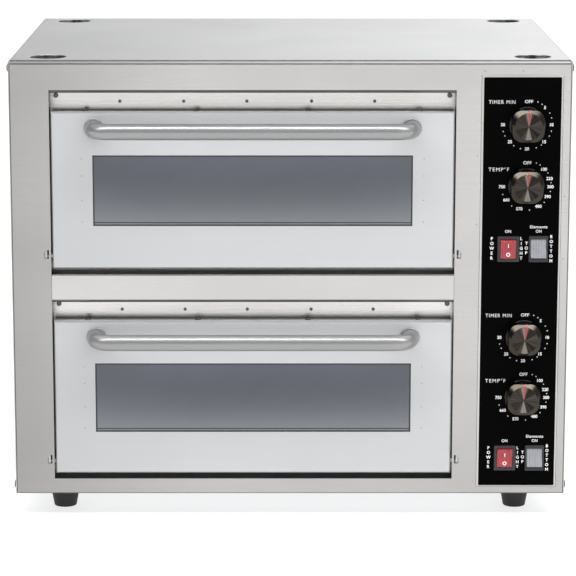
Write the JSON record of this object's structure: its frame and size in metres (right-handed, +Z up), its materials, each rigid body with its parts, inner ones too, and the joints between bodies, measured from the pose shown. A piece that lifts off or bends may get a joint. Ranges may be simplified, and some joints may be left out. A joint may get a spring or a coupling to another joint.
{
  "type": "countertop pizza oven",
  "caption": "Free-standing double-deck electric pizza oven with drop-down glazed doors, timers, thermostats and rocker switches.",
  "frame": {"origin": "middle of the overall width and depth, on the surface that the rubber feet stand on", "axes": "+X to the user's right, doors facing -Y, +Z up"},
  "size_m": [0.714, 0.628, 0.59],
  "materials": {
    "brushed_stainless": "brushed",
    "door_stainless": "fine brushed",
    "handle_stainless": "satin polished",
    "aluminised_steel": "matt",
    "galvanised_steel": "spangled",
    "plated_steel": "bright",
    "hardened_steel": "ground",
    "tinted_glass": "clear, slightly tinted",
    "lamp_glass": "ribbed",
    "cordierite": "porous",
    "element_alloy": "oxidised",
    "mineral_wool": "fibrous",
    "foot_rubber": "matt",
    "overlay_black": "satin printed",
    "mechanism_plastic": "moulded",
    "thermostat_body": "moulded",
    "knob_plastic": "moulded",
    "knob_metal": "spun",
    "rocker_red": "gloss, lit",
    "rocker_grey": "gloss, ribbed",
    "switch_black": "gloss",
    "terminal_white": "moulded",
    "gland_nylon": "moulded"
  },
  "bodies": {
    "oven_body": {"front_panel": "brushed_stainless", "mid_rail": "brushed_stainless", "left_side_cover": "brushed_stainless", "right_side_cover": "brushed_stainless", "top_cover": "brushed_stainless", "back_cover": "brushed_stainless", "base_plate": "galvanised_steel", "rubber_feet": "foot_rubber", "foot_screws": "plated_steel", "cover_screws": "plated_steel", "face_frames": "brushed_stainless", "frame_fasteners": "plated_steel", "upper_chamber": "aluminised_steel", "lower_chamber": "aluminised_steel", "baking_stones": "cordierite", "top_elements": "element_alloy", "bottom_elements": "element_alloy", "oven_lamps": "lamp_glass", "insulation_blankets": "mineral_wool", "compartment_wall": "galvanised_steel", "control_panel": "brushed_stainless", "control_overlay": "overlay_black", "timer_mechanisms": "mechanism_plastic", "thermostats": "thermostat_body", "switch_housings": "switch_black", "hinge_brackets": "galvanised_steel", "terminal_block": "terminal_white", "cable_gland": "gland_nylon"},
    "upper_door": {"upper_door_skin": "door_stainless", "upper_door_liner": "aluminised_steel", "upper_door_panes": "tinted_glass", "upper_door_glazing_frame": "aluminised_steel", "upper_door_insulation": "mineral_wool", "upper_door_handle": "handle_stainless", "upper_door_screws": "plated_steel", "upper_door_hinge_pins": "hardened_steel"},
    "lower_door": {"lower_door_skin": "door_stainless", "lower_door_liner": "aluminised_steel", "lower_door_panes": "tinted_glass", "lower_door_glazing_frame": "aluminised_steel", "lower_door_insulation": "mineral_wool", "lower_door_handle": "handle_stainless", "lower_door_screws": "plated_steel", "lower_door_hinge_pins": "hardened_steel"},
    "upper_timer_knob_set": {"upper_timer_knob": "knob_plastic", "upper_timer_knob_cap": "knob_metal", "upper_timer_shaft": "hardened_steel"},
    "upper_thermostat_knob_set": {"upper_thermostat_knob": "knob_plastic", "upper_thermostat_knob_cap": "knob_metal", "upper_thermostat_shaft": "hardened_steel"},
    "upper_power_rocker_set": {"upper_power_rocker": "rocker_red"},
    "upper_element_rocker_set": {"upper_element_rocker": "rocker_grey"},
    "lower_timer_knob_set": {"lower_timer_knob": "knob_plastic", "lower_timer_knob_cap": "knob_metal", "lower_timer_shaft": "hardened_steel"},
    "lower_thermostat_knob_set": {"lower_thermostat_knob": "knob_plastic", "lower_thermostat_knob_cap": "knob_metal", "lower_thermostat_shaft": "hardened_steel"},
    "lower_power_rocker_set": {"lower_power_rocker": "rocker_red"},
    "lower_element_rocker_set": {"lower_element_rocker": "rocker_grey"}
  },
  "joints": [
    {"name": "upper_door_hinge", "type": "hinge", "parent": "oven_body", "child": "upper_door", "pos_m": [-0.0475, -0.26125, 0.3418], "axis": [1, 0, 0], "range_deg": [0, 90]},
    {"name": "lower_door_hinge", "type": "hinge", "parent": "oven_body", "child": "lower_door", "pos_m": [-0.0475, -0.26125, 0.0725], "axis": [1, 0, 0], "range_deg": [0, 90]},
    {"name": "upper_timer_knob_turn", "type": "hinge", "parent": "oven_body", "child": "upper_timer_knob_set", "pos_m": [0.2984, -0.26775, 0.5112], "axis": [0, 1, 0], "range_deg": [0, 270]},
    {"name": "upper_thermostat_knob_turn", "type": "hinge", "parent": "oven_body", "child": "upper_thermostat_knob_set", "pos_m": [0.2984, -0.26775, 0.4334], "axis": [0, 1, 0], "range_deg": [0, 268]},
    {"name": "upper_power_rocker_tilt", "type": "hinge", "parent": "oven_body", "child": "upper_power_rocker_set", "pos_m": [0.277, -0.26725, 0.352], "axis": [-1, 0, 0], "range_deg": [0, 22]},
    {"name": "upper_element_rocker_tilt", "type": "hinge", "parent": "oven_body", "child": "upper_element_rocker_set", "pos_m": [0.3153, -0.26725, 0.352], "axis": [1, 0, 0], "range_deg": [0, 22]},
    {"name": "lower_timer_knob_turn", "type": "hinge", "parent": "oven_body", "child": "lower_timer_knob_set", "pos_m": [0.2984, -0.26775, 0.237], "axis": [0, 1, 0], "range_deg": [0, 270]},
    {"name": "lower_thermostat_knob_turn", "type": "hinge", "parent": "oven_body", "child": "lower_thermostat_knob_set", "pos_m": [0.2984, -0.26775, 0.1592], "axis": [0, 1, 0], "range_deg": [0, 268]},
    {"name": "lower_power_rocker_tilt", "type": "hinge", "parent": "oven_body", "child": "lower_power_rocker_set", "pos_m": [0.277, -0.26725, 0.0778], "axis": [-1, 0, 0], "range_deg": [0, 22]},
    {"name": "lower_element_rocker_tilt", "type": "hinge", "parent": "oven_body", "child": "lower_element_rocker_set", "pos_m": [0.3153, -0.26725, 0.0778], "axis": [1, 0, 0], "range_deg": [0, 22]}
  ]
}
